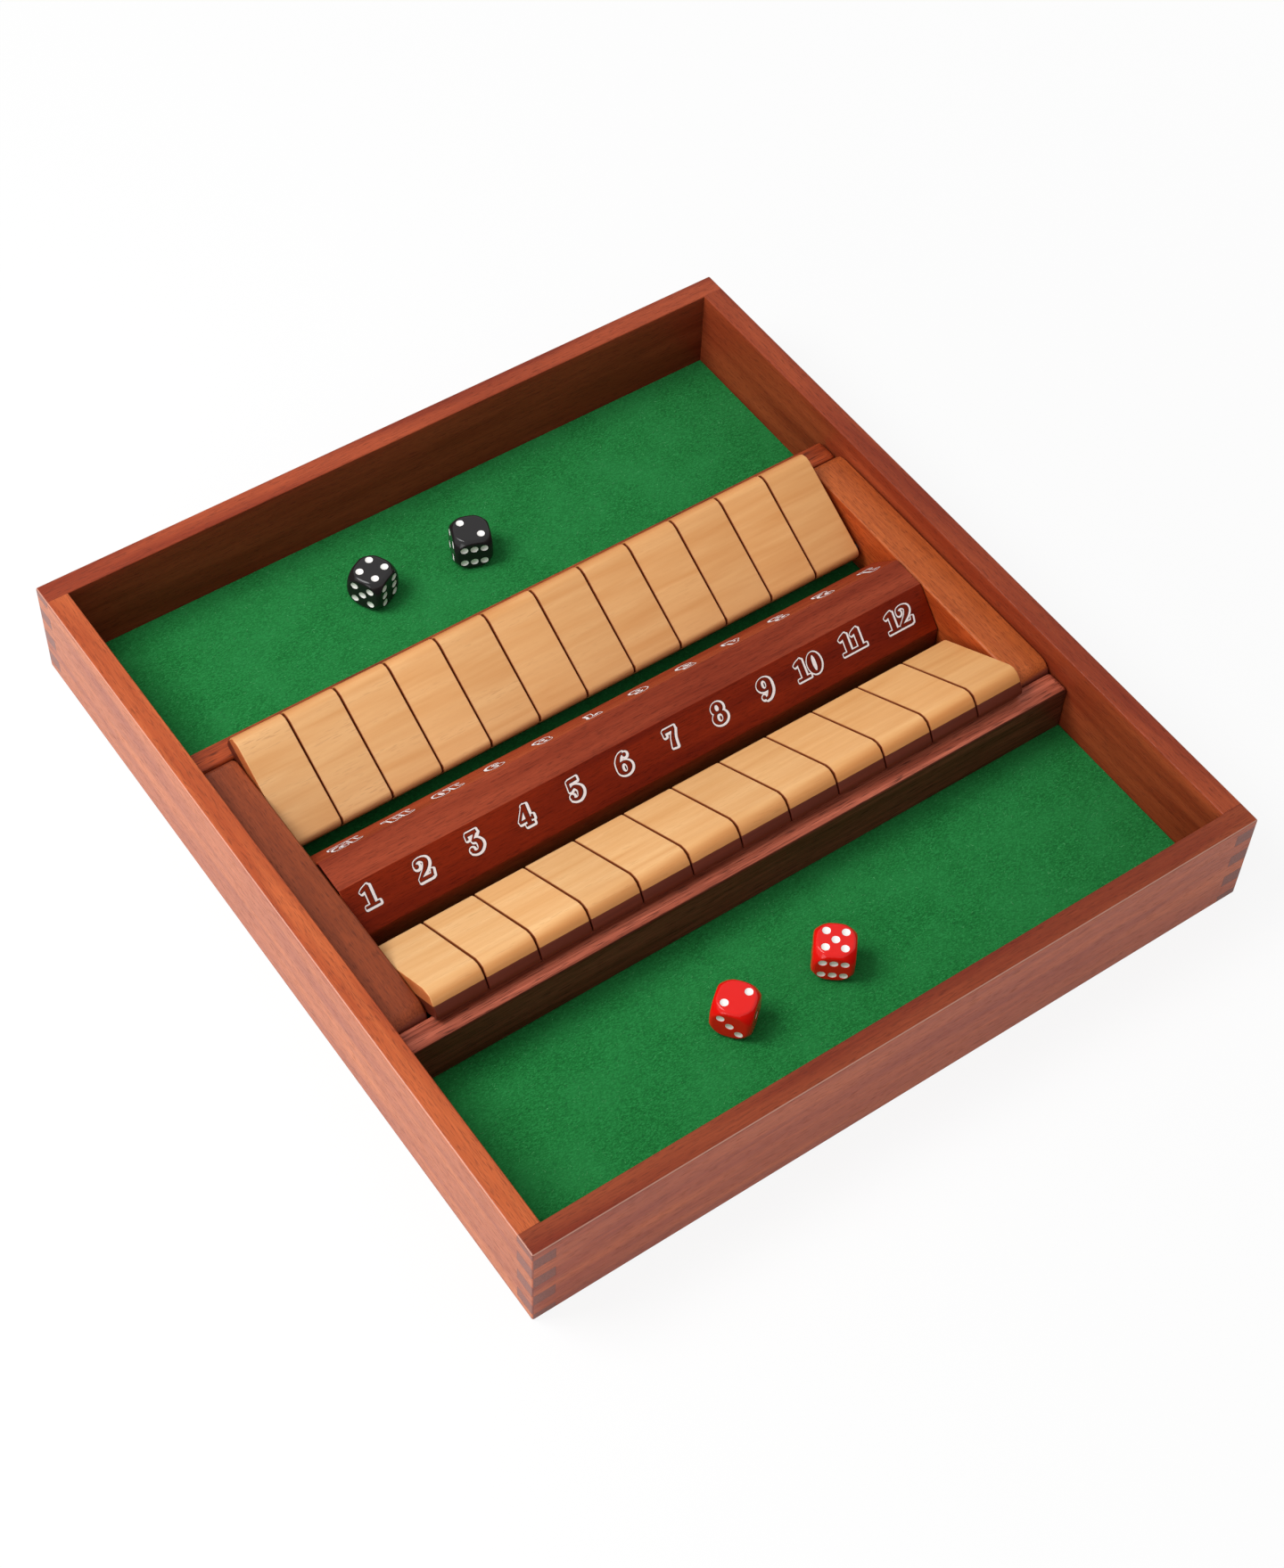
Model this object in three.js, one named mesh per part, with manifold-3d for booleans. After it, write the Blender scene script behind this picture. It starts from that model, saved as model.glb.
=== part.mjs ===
// Shut the box game for two players: an open box of finger-jointed walls with a felt floor and a
// numbered bar across its middle. On each side of the bar a row of twelve tiles turns on a rod. An open
// tile leans on the rail beside the dice tray, and a shut one lies on the bar's slope over its number.
// Millimetres, +Z up. The origin is the middle of the underside, and the near player sits at -Y.

import * as THREE from "three";
import { mergeVertices } from "three/addons/utils/BufferGeometryUtils.js";
import { RoundedBoxGeometry } from "three/addons/geometries/RoundedBoxGeometry.js";
import Module from "manifold-3d";

// Box walls: the front and back walls run through at the top of a corner, the side walls at the bottom.
// The eases take the sharpness off the outer edges and the inner rim.
const boxLength = 320;
const boxDepth = 346;
const boxHeight = 46.3;
const wallThickness = 9.3;
const topLand = 3.7;
const bottomLand = 4.2;
const fingerCount = 6;
const glueLine = 0.05;
const outerEase = 0.8;
const innerEase = 0.5;

// Floor: a panel let into a groove in the walls, with a felt sheet on it
const panelLift = 3.6;
const panelThickness = 5;
const panelTongue = 4;
const grooveClearance = 0.2;
const feltThickness = 1;
const feltClearance = 0.3;

// Number bar
const barWidth = 41.8;
const barTopWidth = 15;
const barHeight = 26.8;
const barSideHeight = 12.5;
const barEdgeRadius = 0.7;
const barEndEase = 0.5;

// Cheeks at the ends of the tile rows
const cheekWidth = 16.5;
const cheekHeight = 26.7;
const cheekCornerRadius = 6;
const cheekEase = 1;

// Rails between the tiles and the trays
const railWidth = 10;
const railHeight = 23.7;
const railCornerRadius = 3;
const railEdgeRadius = 1.2;
const endClearance = 0.3;

// Rods: the height is above the felt, the distances are from the rod's axis
const rodRadius = 2;
const rodHeight = 9.6;
const rodToBar = 12.6;
const rodToRail = 35.3;
const rodFit = 0.1;

// Tiles: depths and reaches are from the rod's axis
const tileCount = 12;
const tileLength = 48;
const tileThickness = 12.6;
const tileTopDepth = 6.9;
const tileEndReach = 4.3;
const tileEndRadius = 3;
const tileNoseRadius = 5;
const tileNoseUnderRadius = 2.5;
const tileEase = 0.5;
const tileGap = 0.55;
const tileSideClearance = 0.2;
const rowPlay = 2;
const boreClearance = 0.12;
const seatGap = 0.25;

// Dice: the six's three pips stand a little wider apart than the corner pips
const dieSize = 16;
const dieEdgeRadius = 1.8;
const dieCornerSphere = 10.8;
const pipRadius = 1.65;
const pipDepth = 0.6;
const pipOffset = 3.6;
const pipRowOffset = 4.1;
const dieSeatGap = 0.1;

// Where each die lies: shares of the inner length from the left, and of its tray from the wall
const dicePlaces = [
  { name: "die_black_a", side: "back", lengthShare: 0.373, trayShare: 0.443, top: 4, front: 5, turn: -63 },
  { name: "die_black_b", side: "back", lengthShare: 0.521, trayShare: 0.479, top: 2, front: 6, turn: -21 },
  { name: "die_red_a", side: "front", lengthShare: 0.379, trayShare: 0.531, top: 2, front: 3, turn: -52 },
  { name: "die_red_b", side: "front", lengthShare: 0.527, trayShare: 0.531, top: 5, front: 6, turn: -40 },
];

// Facets
const arcStep = Math.PI / 6;
const roundSides = 16;
const pipSides = 8;
const sphereDetail = 4;

// Sizes worked out from the ones above
const innerLength = boxLength - 2 * wallThickness;
const innerDepth = boxDepth - 2 * wallThickness;
const feltTop = panelLift + panelThickness + feltThickness;
const rodOffset = barWidth / 2 + rodToBar;
const railInner = rodOffset + rodToRail;
const bayLength = innerLength - 2 * cheekWidth;
const tilePitch = (bayLength - rowPlay - 2 * tileSideClearance) / tileCount;
const tileWidth = tilePitch - tileGap;
const tileUnderDepth = tileThickness - tileTopDepth;
const trayDepth = innerDepth / 2 - railInner - railWidth;

const wood = { roughness: 0.45, metalness: 0 };
const materials = {
  wall: new THREE.MeshStandardMaterial({ color: 0x9c4a2c, ...wood }),
  panel: new THREE.MeshStandardMaterial({ color: 0xb98a5a, ...wood }),
  felt: new THREE.MeshStandardMaterial({ color: 0x1f7a35, roughness: 1, metalness: 0 }),
  bar: new THREE.MeshStandardMaterial({ color: 0x6e1d10, ...wood }),
  cheek: new THREE.MeshStandardMaterial({ color: 0x9a4526, ...wood }),
  rail: new THREE.MeshStandardMaterial({ color: 0x7c3a2c, ...wood }),
  tile: new THREE.MeshStandardMaterial({ color: 0xe3ab6a, ...wood }),
  steel: new THREE.MeshStandardMaterial({ color: 0xb4b6b8, roughness: 0.35, metalness: 1 }),
  black: new THREE.MeshStandardMaterial({ color: 0x1a1718, roughness: 0.25, metalness: 0 }),
  red: new THREE.MeshStandardMaterial({ color: 0xe01f1c, roughness: 0.25, metalness: 0 }),
};

const wasm = await Module();
wasm.setup();

// A closed geometry as a solid that can be joined and cut
function toSolid(geometry) {
  const bare = geometry.clone();
  bare.deleteAttribute("normal");
  bare.deleteAttribute("uv");
  const merged = mergeVertices(bare);
  const vertProperties = merged.attributes.position.array;
  const triVerts = new Uint32Array(merged.index.array);
  return new wasm.Manifold(new wasm.Mesh({ numProp: 3, vertProperties, triVerts }));
}

// A solid as a geometry again
function toGeometry(solid) {
  const mesh = solid.getMesh();
  const geometry = new THREE.BufferGeometry();
  geometry.setAttribute("position", new THREE.BufferAttribute(mesh.vertProperties, 3));
  geometry.setIndex(new THREE.BufferAttribute(mesh.triVerts, 1));
  geometry.computeVertexNormals();
  return geometry;
}

function namedMesh(name, geometry, material) {
  const mesh = new THREE.Mesh(geometry, material);
  mesh.name = name;
  return mesh;
}

// The outline through corners [x, y, radius], counterclockwise, with an arc at each rounded corner
function roundedOutline(corners) {
  const points = [];
  corners.forEach(([x, y, radius], i) => {
    const corner = new THREE.Vector2(x, y);
    if (!radius) {
      points.push(corner);
      return;
    }
    const before = corners[(i + corners.length - 1) % corners.length];
    const after = corners[(i + 1) % corners.length];
    const incoming = new THREE.Vector2(x - before[0], y - before[1]).normalize();
    const outgoing = new THREE.Vector2(after[0] - x, after[1] - y).normalize();
    const turn = Math.acos(THREE.MathUtils.clamp(incoming.dot(outgoing), -1, 1));
    const start = corner.clone().addScaledVector(incoming, -radius * Math.tan(turn / 2));
    const centre = start.clone().add(new THREE.Vector2(-incoming.y, incoming.x).multiplyScalar(radius));
    const steps = Math.max(1, Math.round(turn / arcStep));
    for (let step = 0; step <= steps; step++)
      points.push(start.clone().rotateAround(centre, (turn * step) / steps));
  });
  return points;
}

function rectangle(width, height) {
  const [x, y] = [width / 2, height / 2];
  return roundedOutline([[-x, -y, 0], [x, -y, 0], [x, y, 0], [-x, y, 0]]);
}

function circlePath(x, y, radius) {
  const points = [];
  for (let i = 0; i < roundSides; i++) {
    const angle = (2 * Math.PI * i) / roundSides;
    points.push(new THREE.Vector2(x + radius * Math.cos(angle), y + radius * Math.sin(angle)));
  }
  return new THREE.Path(points);
}

// A bar of the given outline, centred on its own length, with its end edges eased
function extrude(points, length, ease = 0, easeSegments = 1, holes = []) {
  const shape = new THREE.Shape(points);
  shape.holes = holes;
  const geometry = new THREE.ExtrudeGeometry(shape, {
    depth: length - 2 * ease,
    bevelEnabled: ease > 0,
    bevelThickness: ease,
    bevelSize: ease,
    bevelOffset: -ease,
    bevelSegments: easeSegments,
  });
  return geometry.translate(0, 0, ease - length / 2);
}

// Turn an outline drawn on X and Z so that its length runs along Y
const acrossY = (geometry) => geometry.rotateX(Math.PI / 2);

// Turn an outline drawn on Y and Z so that its length runs along X
const alongX = (geometry) => geometry.rotateX(Math.PI / 2).rotateZ(Math.PI / 2);

// The bands of a corner joint from the underside up, each with the wall that runs through
const fingerHeight = (boxHeight - topLand - bottomLand) / fingerCount;
const bands = [{ low: 0, high: bottomLand, owner: "side" }];
for (let i = 0; i < fingerCount; i++) {
  const low = bottomLand + i * fingerHeight;
  bands.push({ low, high: low + fingerHeight, owner: i % 2 ? "side" : "front" });
}
bands.push({ low: boxHeight - topLand, high: boxHeight, owner: "front" });

// A wall's elevation: its fingers reach the corner, and its notches leave room for the other wall's
function wallOutline(length, owner) {
  const end = bands.flatMap((band) => {
    const owned = band.owner === owner;
    const reach = length / 2 - (owned ? 0 : wallThickness + glueLine);
    const trim = owned ? glueLine / 2 : -glueLine / 2;
    const low = band.low > 0 ? band.low + trim : 0;
    const high = band.high < boxHeight ? band.high - trim : boxHeight;
    return [[reach, low], [reach, high]];
  });
  const mirrored = end.map(([x, z]) => [-x, z]).reverse();
  return [...end, ...mirrored].map(([x, z]) => new THREE.Vector2(x, z));
}

function makeWalls() {
  const groove = new THREE.BoxGeometry(
    innerLength + 2 * (panelTongue + grooveClearance),
    innerDepth + 2 * (panelTongue + grooveClearance),
    panelThickness + grooveClearance,
  );
  groove.translate(0, 0, panelLift + (panelThickness + grooveClearance) / 2);
  // The four walls are glued up first, and then eased round the outside and round the inner rim
  const easedBox = new RoundedBoxGeometry(boxLength, boxDepth, boxHeight, 2, outerEase);
  easedBox.translate(0, 0, boxHeight / 2);
  const rim = extrude(rectangle(innerLength + 2 * innerEase, innerDepth + 2 * innerEase), boxHeight, innerEase);
  rim.translate(0, 0, 1.5 * boxHeight - innerEase);
  const outside = toSolid(easedBox);
  const cuts = toSolid(groove).add(toSolid(rim));
  const finished = (geometry) => toGeometry(toSolid(geometry).intersect(outside).subtract(cuts));
  const longWall = (y) =>
    finished(acrossY(extrude(wallOutline(boxLength, "front"), wallThickness)).translate(0, y, 0));
  const sideWall = (x) =>
    finished(alongX(extrude(wallOutline(boxDepth, "side"), wallThickness)).translate(x, 0, 0));
  const halfDepth = (boxDepth - wallThickness) / 2;
  const halfLength = (boxLength - wallThickness) / 2;
  return [
    namedMesh("front_wall", longWall(-halfDepth), materials.wall),
    namedMesh("back_wall", longWall(halfDepth), materials.wall),
    namedMesh("left_wall", sideWall(-halfLength), materials.wall),
    namedMesh("right_wall", sideWall(halfLength), materials.wall),
  ];
}

function makeFloor() {
  const panel = namedMesh(
    "base_panel",
    new THREE.BoxGeometry(innerLength + 2 * panelTongue, innerDepth + 2 * panelTongue, panelThickness),
    materials.panel,
  );
  panel.position.z = panelLift + panelThickness / 2;
  const felt = namedMesh(
    "felt_lining",
    new THREE.BoxGeometry(innerLength - 2 * feltClearance, innerDepth - 2 * feltClearance, feltThickness),
    materials.felt,
  );
  felt.position.z = feltTop - feltThickness / 2;
  return [panel, felt];
}

function makeNumberBar() {
  const outline = roundedOutline([
    [-barWidth / 2, 0, 0],
    [barWidth / 2, 0, 0],
    [barWidth / 2, barSideHeight, barEdgeRadius],
    [barTopWidth / 2, barHeight, barEdgeRadius],
    [-barTopWidth / 2, barHeight, barEdgeRadius],
    [-barWidth / 2, barSideHeight, barEdgeRadius],
  ]);
  const bar = alongX(extrude(outline, bayLength - 2 * endClearance, barEndEase));
  const mesh = namedMesh("number_bar", bar, materials.bar);
  mesh.position.z = feltTop;
  return mesh;
}

// A cheek fills the space between its wall and the tiles, and both rods run through it
function makeCheek(name, side) {
  const halfLength = railInner - endClearance;
  const outline = roundedOutline([
    [-halfLength, 0, 0],
    [halfLength, 0, 0],
    [halfLength, cheekHeight, cheekCornerRadius],
    [-halfLength, cheekHeight, cheekCornerRadius],
  ]);
  const holes = [-rodOffset, rodOffset].map((y) => circlePath(y, rodHeight, rodRadius + rodFit));
  const width = cheekWidth - endClearance;
  const mesh = namedMesh(name, alongX(extrude(outline, width, cheekEase, 1, holes)), materials.cheek);
  mesh.position.set(side * (bayLength + width) / 2, 0, feltTop);
  return mesh;
}

function makeRail(name) {
  const halfLength = innerLength / 2 - endClearance;
  const outline = roundedOutline([
    [-halfLength, 0, 0],
    [halfLength, 0, 0],
    [halfLength, railHeight, railCornerRadius],
    [-halfLength, railHeight, railCornerRadius],
  ]);
  const mesh = namedMesh(name, acrossY(extrude(outline, railWidth, railEdgeRadius, 2)), materials.rail);
  mesh.position.set(0, -railInner - railWidth / 2, feltTop);
  return mesh;
}

function makeRod(name) {
  const length = innerLength - 2 * endClearance;
  const rod = new THREE.CylinderGeometry(rodRadius, rodRadius, length, roundSides);
  const mesh = namedMesh(name, rod.rotateZ(Math.PI / 2), materials.steel);
  mesh.position.set(0, -rodOffset, feltTop + rodHeight);
  return mesh;
}

// One tile lying level with its nose towards -Y and the rod's axis through its origin
function makeTileGeometry() {
  const noseReach = tileLength - tileEndReach;
  const outline = roundedOutline([
    [-tileEndReach, -tileUnderDepth, tileEndRadius],
    [noseReach, -tileUnderDepth, tileNoseUnderRadius],
    [noseReach, tileTopDepth, tileNoseRadius],
    [-tileEndReach, tileTopDepth, tileEndRadius],
  ]);
  const bore = circlePath(0, 0, rodRadius + boreClearance);
  const geometry = extrude(outline, tileWidth, tileEase, 1, [bore]);
  const towardsNose = new THREE.Vector3(0, -1, 0);
  const up = new THREE.Vector3(0, 0, 1);
  const across = new THREE.Vector3(-1, 0, 0);
  return geometry.applyMatrix4(new THREE.Matrix4().makeBasis(towardsNose, up, across));
}

// The lean of an open tile, whose underside rests on the rail's rounded inner edge
function restAngle() {
  const along = rodToRail + railEdgeRadius;
  const above = railHeight - railEdgeRadius - rodHeight;
  const depth = tileUnderDepth + railEdgeRadius + seatGap;
  return Math.atan2(above, along) + Math.asin(depth / Math.hypot(along, above));
}

// A row of tiles from -X to +X, which lies loose on its rod by the play of the row
function makeTiles(prefix, rowStart, tileGeometry) {
  const tiles = [];
  for (let i = 0; i < tileCount; i++) {
    const name = `${prefix}_tile_${String(i + 1).padStart(2, "0")}`;
    const tile = namedMesh(name, tileGeometry, materials.tile);
    tile.position.set(rowStart + (i + 0.5) * tilePitch, -rodOffset, feltTop + rodHeight);
    tile.rotation.x = -restAngle();
    tiles.push(tile);
  }
  return tiles;
}

// One player's rail, rod and tiles, with the player at -Y
function makePlayerSide(prefix, rowStart, tileGeometry) {
  const side = new THREE.Group();
  side.add(makeRail(`${prefix}_rail`));
  side.add(makeRod(`${prefix}_rod`));
  side.add(...makeTiles(prefix, rowStart, tileGeometry));
  return side;
}

// The pips of each face, as places on the face's two other axes
const pair = [[pipOffset, -pipOffset], [-pipOffset, pipOffset]];
const otherPair = [[pipOffset, pipOffset], [-pipOffset, -pipOffset]];
const middle = [[0, 0]];
const twoRows = [-pipRowOffset, 0, pipRowOffset].flatMap((z) => [[pipOffset, z], [-pipOffset, z]]);
const dieFaces = {
  1: { normal: [1, 0, 0], pips: middle },
  2: { normal: [0, 1, 0], pips: pair },
  3: { normal: [0, 0, 1], pips: [...pair, ...middle] },
  4: { normal: [0, 0, -1], pips: [...pair, ...otherPair] },
  5: { normal: [0, -1, 0], pips: [...pair, ...otherPair, ...middle] },
  6: { normal: [-1, 0, 0], pips: twoRows },
};

// A die is a rounded cube cut by a sphere at the corners, with a shallow drilled pit for each pip
function makeDieGeometry() {
  const cube = new RoundedBoxGeometry(dieSize, dieSize, dieSize, 2, dieEdgeRadius);
  const ball = new THREE.IcosahedronGeometry(dieCornerSphere, sphereDetail);
  let die = toSolid(cube).intersect(toSolid(ball));
  const awayFromTip = new THREE.Vector3(0, -1, 0);
  for (const { normal, pips } of Object.values(dieFaces)) {
    const outward = new THREE.Vector3(...normal);
    const turn = new THREE.Quaternion().setFromUnitVectors(awayFromTip, outward);
    const axes = [0, 1, 2].filter((axis) => normal[axis] === 0);
    for (const pip of pips) {
      const pit = new THREE.ConeGeometry(2 * pipRadius, 2 * pipDepth, pipSides);
      const centre = outward.clone().multiplyScalar(dieSize / 2);
      axes.forEach((axis, i) => centre.setComponent(axis, pip[i]));
      pit.applyQuaternion(turn).translate(...centre);
      die = die.subtract(toSolid(pit));
    }
  }
  return toGeometry(die);
}

// The turn that brings one face to the top and another to the front
function dieTurn(top, front) {
  const up = new THREE.Vector3(...dieFaces[top].normal);
  const towards = new THREE.Vector3(...dieFaces[front].normal);
  const right = up.clone().cross(towards);
  return new THREE.Matrix4().makeBasis(right, towards.negate(), up).transpose();
}

function makeDice() {
  const geometry = makeDieGeometry();
  return dicePlaces.map(({ name, side, lengthShare, trayShare, top, front, turn }) => {
    const die = namedMesh(name, geometry, side === "back" ? materials.black : materials.red);
    const fromCentre = innerDepth / 2 - trayShare * trayDepth;
    const spin = new THREE.Matrix4().makeRotationZ(THREE.MathUtils.degToRad(turn));
    die.setRotationFromMatrix(spin.multiply(dieTurn(top, front)));
    die.position.set(
      (lengthShare - 0.5) * innerLength,
      side === "back" ? fromCentre : -fromCentre,
      feltTop + dieSeatGap + dieSize / 2,
    );
    return die;
  });
}

const tileGeometry = makeTileGeometry();
const frontRowStart = -bayLength / 2 + tileSideClearance;
const backRowStart = frontRowStart + rowPlay;
const farSide = makePlayerSide("back", backRowStart, tileGeometry);
farSide.rotation.z = Math.PI;

const game = new THREE.Group();
game.add(...makeWalls(), ...makeFloor(), makeNumberBar());
game.add(makeCheek("left_cheek", -1), makeCheek("right_cheek", 1));
game.add(makePlayerSide("front", frontRowStart, tileGeometry), farSide);
game.add(...makeDice());

export default game;
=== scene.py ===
"""The looks of a shut the box game for two players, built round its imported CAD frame.

Metres, +Z up, the near player at -Y. The sections follow the game as it is put together: the studio it
is shown in, the walls, the floor with its felt, the number bar, the cheeks and rails, the rods, the
tiles and the dice.
"""

import math

import bmesh
import bpy
from mathutils import Matrix, Vector
from mathutils.geometry import delaunay_2d_cdt


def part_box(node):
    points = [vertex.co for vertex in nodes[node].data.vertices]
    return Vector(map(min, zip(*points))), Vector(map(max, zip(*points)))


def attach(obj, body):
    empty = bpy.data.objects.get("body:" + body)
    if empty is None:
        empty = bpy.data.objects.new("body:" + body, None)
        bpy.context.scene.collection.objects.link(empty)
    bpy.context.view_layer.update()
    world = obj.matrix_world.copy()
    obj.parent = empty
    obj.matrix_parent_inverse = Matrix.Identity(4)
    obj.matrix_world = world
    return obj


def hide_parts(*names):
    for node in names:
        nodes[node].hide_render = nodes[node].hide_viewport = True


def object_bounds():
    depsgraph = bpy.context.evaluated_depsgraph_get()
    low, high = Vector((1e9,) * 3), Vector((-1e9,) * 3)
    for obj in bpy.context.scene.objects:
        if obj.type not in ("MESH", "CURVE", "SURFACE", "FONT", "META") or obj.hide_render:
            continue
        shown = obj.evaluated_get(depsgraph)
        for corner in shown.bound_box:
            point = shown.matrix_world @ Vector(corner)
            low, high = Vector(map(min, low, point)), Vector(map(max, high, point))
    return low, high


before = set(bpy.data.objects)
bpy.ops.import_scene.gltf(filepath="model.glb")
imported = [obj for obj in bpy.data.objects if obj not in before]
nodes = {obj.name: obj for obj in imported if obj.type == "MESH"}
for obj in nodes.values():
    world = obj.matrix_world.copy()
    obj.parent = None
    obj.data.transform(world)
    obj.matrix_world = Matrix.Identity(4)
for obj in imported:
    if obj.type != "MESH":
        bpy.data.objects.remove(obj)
cad_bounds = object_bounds()
MM = 0.001


# The studio: a camera where the photographer stood, a white table, a large soft lamp high on the left,
# a weak one low on the left, and a white room that fills their shadows.

camera_place = Vector((-0.40065, -0.53603, 0.8773))
camera_turn = (37.143, -1.7485, -34.905)
camera_lens = 65.07
camera_near = 0.05

lamp_place = Vector((-0.58, 0.28, 0.92))
lamp_side = 0.55
lamp_power = 9.6
fill_place = Vector((-1.0, -0.35, 0.3))
fill_side = 0.5
fill_power = 2.6
room_level = 0.5

table_side = 8
table_white = (0.86, 0.86, 0.86, 1)
table_drop = 0.1 * MM
table_camera_share = 0.88
table_gloss_share = 0.3
table_near = 0.25
table_far = 0.9
white = (1, 1, 1, 1)


def linear(hex_colour):
    """A colour written as red, green and blue in hex, as Blender's linear values."""
    parts = [int(hex_colour[i : i + 2], 16) / 255 for i in (0, 2, 4)]
    return tuple(c / 12.92 if c <= 0.04045 else ((c + 0.055) / 1.055) ** 2.4 for c in parts) + (1,)


class Graph:
    """A node tree whose nodes are added and wired in one call each."""

    def __init__(self, tree, prefix="ShaderNode"):
        self.tree, self.prefix = tree, prefix

    def wire(self, value, socket):
        if isinstance(value, bpy.types.Node):
            value = value.outputs[0]
        if isinstance(value, bpy.types.NodeSocket):
            self.tree.links.new(value, socket)
        else:
            socket.default_value = value

    def add(self, kind, inputs=None, **settings):
        node = self.tree.nodes.new(self.prefix + kind)
        for name, value in settings.items():
            setattr(node, name, value)
        for key, value in (inputs or {}).items():
            self.wire(value, node.inputs[key])
        return node

    def place(self):
        """Where a point lies on the game as it stands at rest."""
        return self.add("TexCoord").outputs["Object"]

    def facing(self):
        """Which way the surface looks at a point."""
        return self.add("TexCoord").outputs["Normal"]

    def axes(self, vector):
        return self.add("SeparateXYZ", {0: vector}).outputs

    def math(self, operation, a, b=0.0):
        return self.add("Math", {0: a, 1: b}, operation=operation)

    def remap(self, value, low, high, to_low=0.0, to_high=1.0):
        return self.add("MapRange", {0: value, 1: low, 2: high, 3: to_low, 4: to_high})

    def mix(self, factor, a, b, blend="MIX"):
        node = self.add("Mix", {0: factor, 6: a, 7: b}, data_type="RGBA", blend_type=blend)
        return node.outputs[2]


def finish(name, **sockets):
    """A material with its shader's plain sockets set, and the graph that the rest is wired in."""
    material = bpy.data.materials.new(name)
    material.use_nodes = True
    graph = Graph(material.node_tree)
    shader = material.node_tree.nodes["Principled BSDF"]
    for socket, value in sockets.items():
        shader.inputs[socket.replace("_", " ")].default_value = value
    return material, graph, shader


scene = bpy.context.scene
scene.view_settings.view_transform = "Standard"

camera = bpy.data.objects.new("camera", bpy.data.cameras.new("camera"))
camera.location = camera_place
camera.rotation_euler = [math.radians(angle) for angle in camera_turn]
camera.data.lens = camera_lens
camera.data.clip_start = camera_near
scene.collection.objects.link(camera)
scene.camera = camera

for name, place, side, power in (
    ("soft_lamp", lamp_place, lamp_side, lamp_power),
    ("low_lamp", fill_place, fill_side, fill_power),
):
    lamp = bpy.data.objects.new(name, bpy.data.lights.new(name, "AREA"))
    lamp.data.shape = "SQUARE"
    lamp.data.size = side
    lamp.data.energy = power
    lamp.location = place
    lamp.rotation_euler = (-place).to_track_quat("-Z", "Y").to_euler()
    scene.collection.objects.link(lamp)


def seen_share(graph, camera_share, gloss_share):
    """How much of its white a background shows to the camera, and to glossy and clear surfaces."""
    rays = graph.add("LightPath").outputs
    shiny = graph.math("MAXIMUM", rays["Is Glossy Ray"], rays["Is Transmission Ray"])
    by_gloss = graph.math("MULTIPLY", shiny, gloss_share)
    by_camera = graph.math("MULTIPLY", rays["Is Camera Ray"], camera_share)
    return graph.math("MAXIMUM", by_camera, by_gloss)


scene.world = bpy.data.worlds.new("white_room")
scene.world.use_nodes = True
room = Graph(scene.world.node_tree)
room_light = room.tree.nodes["Background"]
room_light.inputs["Color"].default_value = white
room_light.inputs["Strength"].default_value = room_level
room_seen = room.add("Background", {"Color": white, "Strength": 1})
room_mix = room.add("MixShader", {0: seen_share(room, 1, 1), 1: room_light, 2: room_seen})
room.wire(room_mix, room.tree.nodes["World Output"].inputs["Surface"])

table_finish, graph, shader = finish("table_white", Base_Color=table_white, Roughness=1)
shader.inputs["Specular IOR Level"].default_value = 0
glow = graph.add("Emission", {"Color": white, "Strength": 1})
from_game = graph.add("VectorMath", {0: graph.place()}, operation="LENGTH")
camera_share = graph.remap(from_game.outputs["Value"], table_near, table_far, table_camera_share, 1)
share = seen_share(graph, camera_share, table_gloss_share)
table_mix = graph.add("MixShader", {0: share, 1: shader, 2: glow})
graph.wire(table_mix, graph.tree.nodes["Material Output"].inputs["Surface"])

mesh = bpy.data.meshes.new("table")
half = table_side / 2
corners = [(x * half, y * half, -table_drop) for x, y in ((-1, -1), (1, -1), (1, 1), (-1, 1))]
mesh.from_pydata(corners, [], [(0, 1, 2, 3)])
mesh.materials.append(table_finish)
table = bpy.data.objects.new("table", mesh)
scene.collection.objects.link(table)


# The walls: four boards of reddish-brown hardwood, finger-jointed at the corners, glued, eased and given
# a satin lacquer. Their grain runs along each board, so the fingers show end grain at the corners.

# For each board the axis of its grain, the part of the pattern it is cut from, and its pale and deep tone.
wall_boards = {
    "front_wall": ("X", 0, linear("994728"), linear("7b2c16")),
    "back_wall": ("X", 37, linear("b0502f"), linear("88321a")),
    "left_wall": ("Y", 74, linear("cc6839"), linear("a0401e")),
    "right_wall": ("Y", 111, linear("a84c2a"), linear("802c15")),
}
wall_pore = linear("3f150b")
wall_end = linear("844434")
wall_gloss = 0.4
wood_shine = 0.2
pore_dulling = 0.25
pore_depth = 0.04 * MM
streak_tone = (0.55, 0.5, 0.48, 1)
end_dot_scale = 1500
outside_depth = 0.5 * MM
outside_coat = 0.32
# A painted highlight along the eased top edges of the walls' outer faces.
edge_painted_highlight = linear("d8a894")
edge_highlight_share = 0.55
outside_roughness = 0.3
# Painted shade on the back wall's inner face.
back_wall_painted_shade = (0.62, 0.62, 0.62)
grain_axes = {"X": (0, 1, 2), "Y": (1, 2, 0)}
leftward = Vector((-1, 0, 0))
forward = Vector((0, -1, 0))
# Painted light and sheen: the outer faces of the front and left walls are made lighter and paler than their
# wood.
outside_painted_light = {
    "front_wall": (forward, (1.82, 1.9, 1.2)),
    "left_wall": (leftward, (1.04, 1.2, 0.9)),
}
merge_distance = 0.002 * MM
sharp_angle = math.radians(50)


# The figure, streaks and pores of a board: a length along the grain and one across it, in millimetres.
wall_figures = (110, 8)
wall_streaks = (16, 0.55)
wall_pores = (4, 0.3)


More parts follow.
